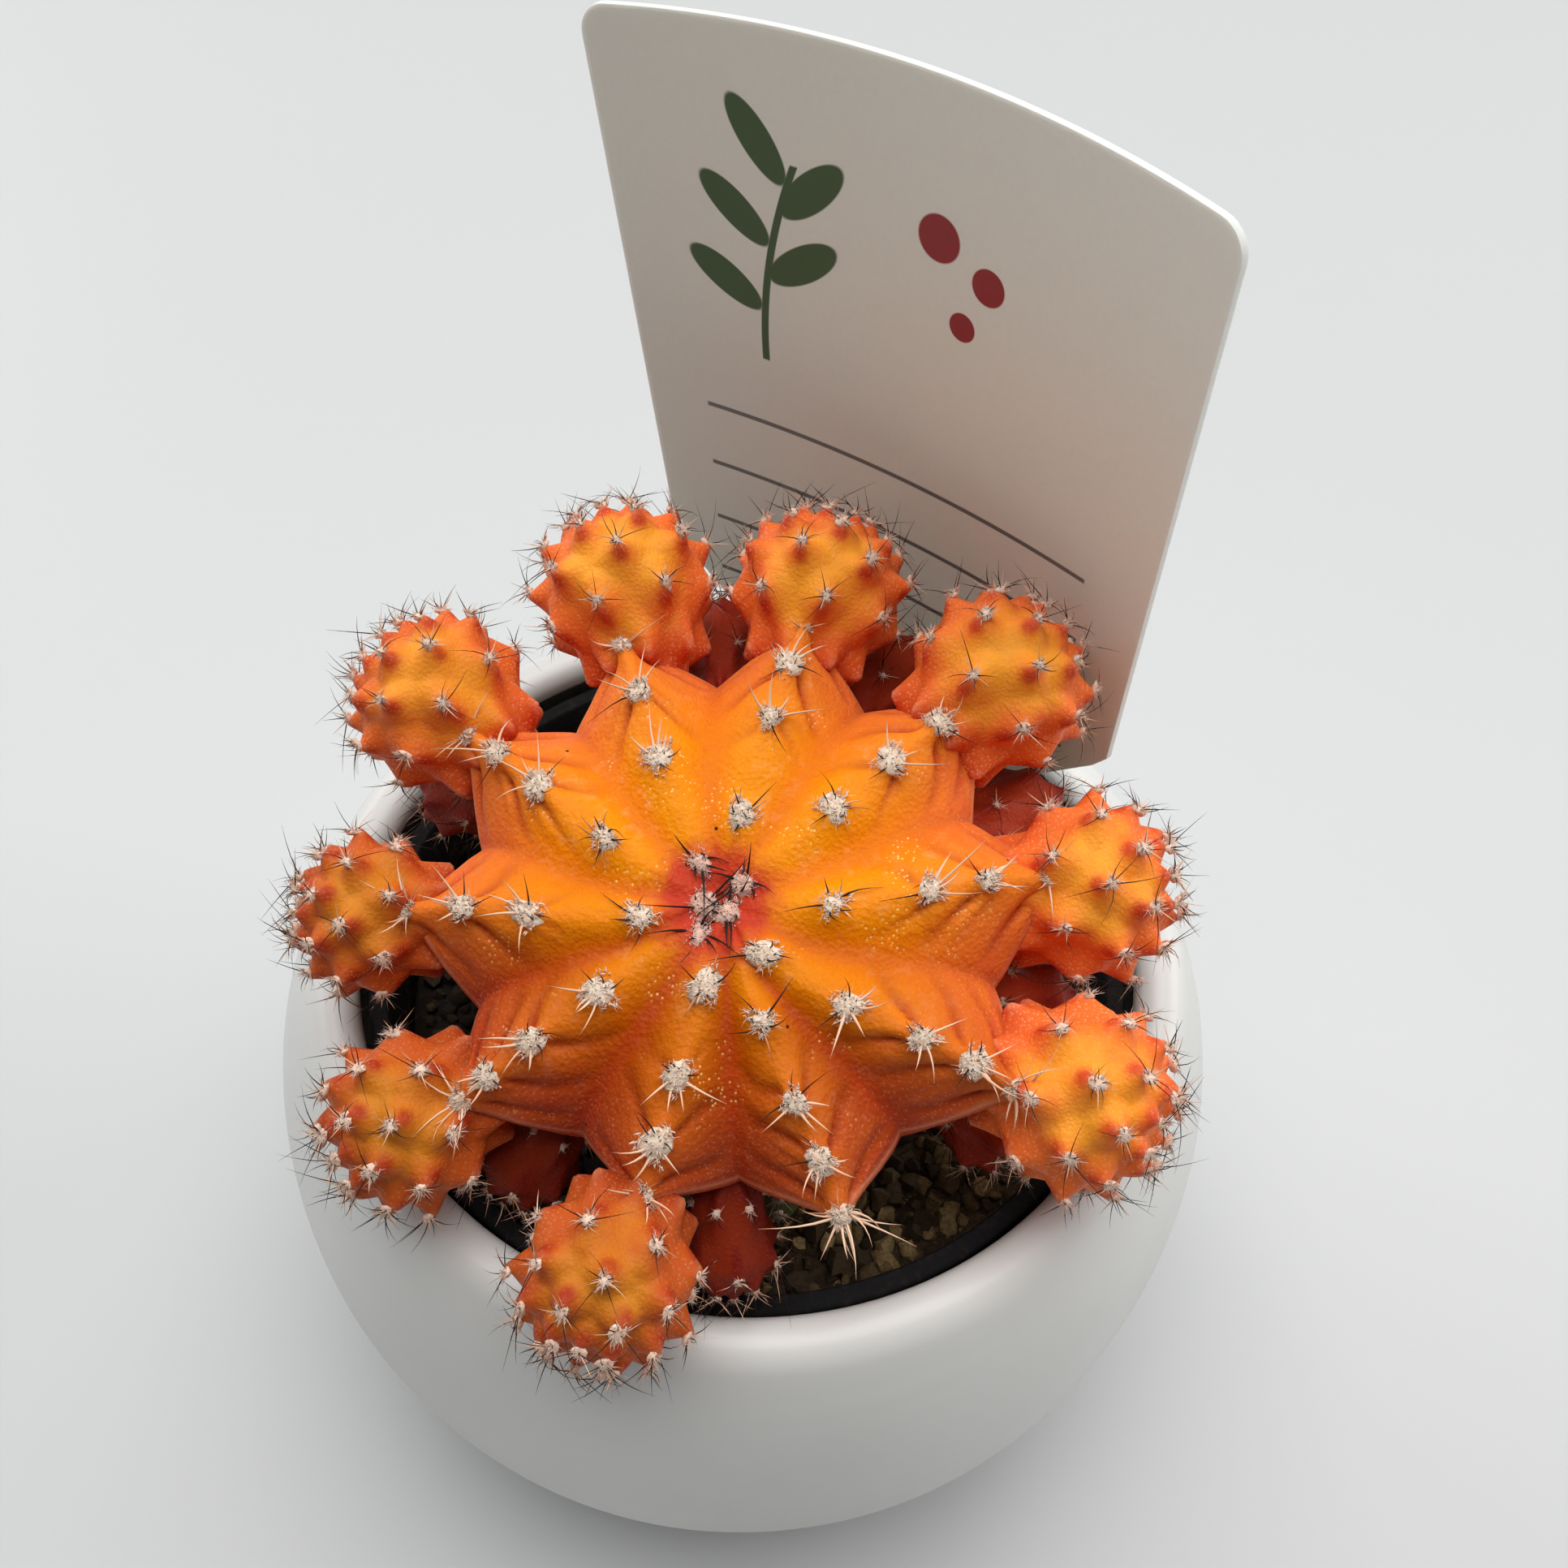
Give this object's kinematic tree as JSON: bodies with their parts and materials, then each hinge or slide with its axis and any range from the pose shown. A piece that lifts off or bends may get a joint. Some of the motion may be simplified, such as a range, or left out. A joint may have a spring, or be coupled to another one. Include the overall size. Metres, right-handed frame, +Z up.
{
  "type": "potted moon cactus",
  "caption": "Small grafted moon cactus: orange ribbed head and offsets on a green stock, in gritty soil in a round white cover pot, with a blank plant label.",
  "frame": {"origin": "centre of the cover pot's flat foot, on the surface it stands on", "axes": "+Z up, -Y towards the front, +X to the right of someone looking at the front"},
  "size_m": [0.0898, 0.0898, 0.1265],
  "materials": {
    "white_ceramic": "gloss",
    "black_plastic": "satin",
    "gritty_soil": "matte",
    "green_stock": "satin",
    "orange_head": "satin",
    "orange_offset": "satin",
    "red_offset": "satin",
    "label_card": "satin"
  },
  "bodies": {
    "root": {"cover_pot": "white_ceramic", "nursery_pot": "black_plastic", "soil": "gritty_soil", "stock": "green_stock", "head": "orange_head", "plant_label": "label_card", "offset_back_left": "orange_offset", "offset_back": "orange_offset", "offset_back_right": "orange_offset", "offset_right": "orange_offset", "offset_front_right": "orange_offset", "offset_front": "orange_offset", "offset_front_left": "orange_offset", "offset_left": "orange_offset", "offset_left_back": "orange_offset", "offset_low_front_left": "red_offset", "offset_low_front": "red_offset", "offset_low_right": "red_offset", "offset_low_right_middle": "red_offset", "offset_low_back": "red_offset", "offset_low_back_right": "red_offset", "offset_low_left_back": "red_offset", "offset_low_front_right": "red_offset"}
  },
  "joints": []
}
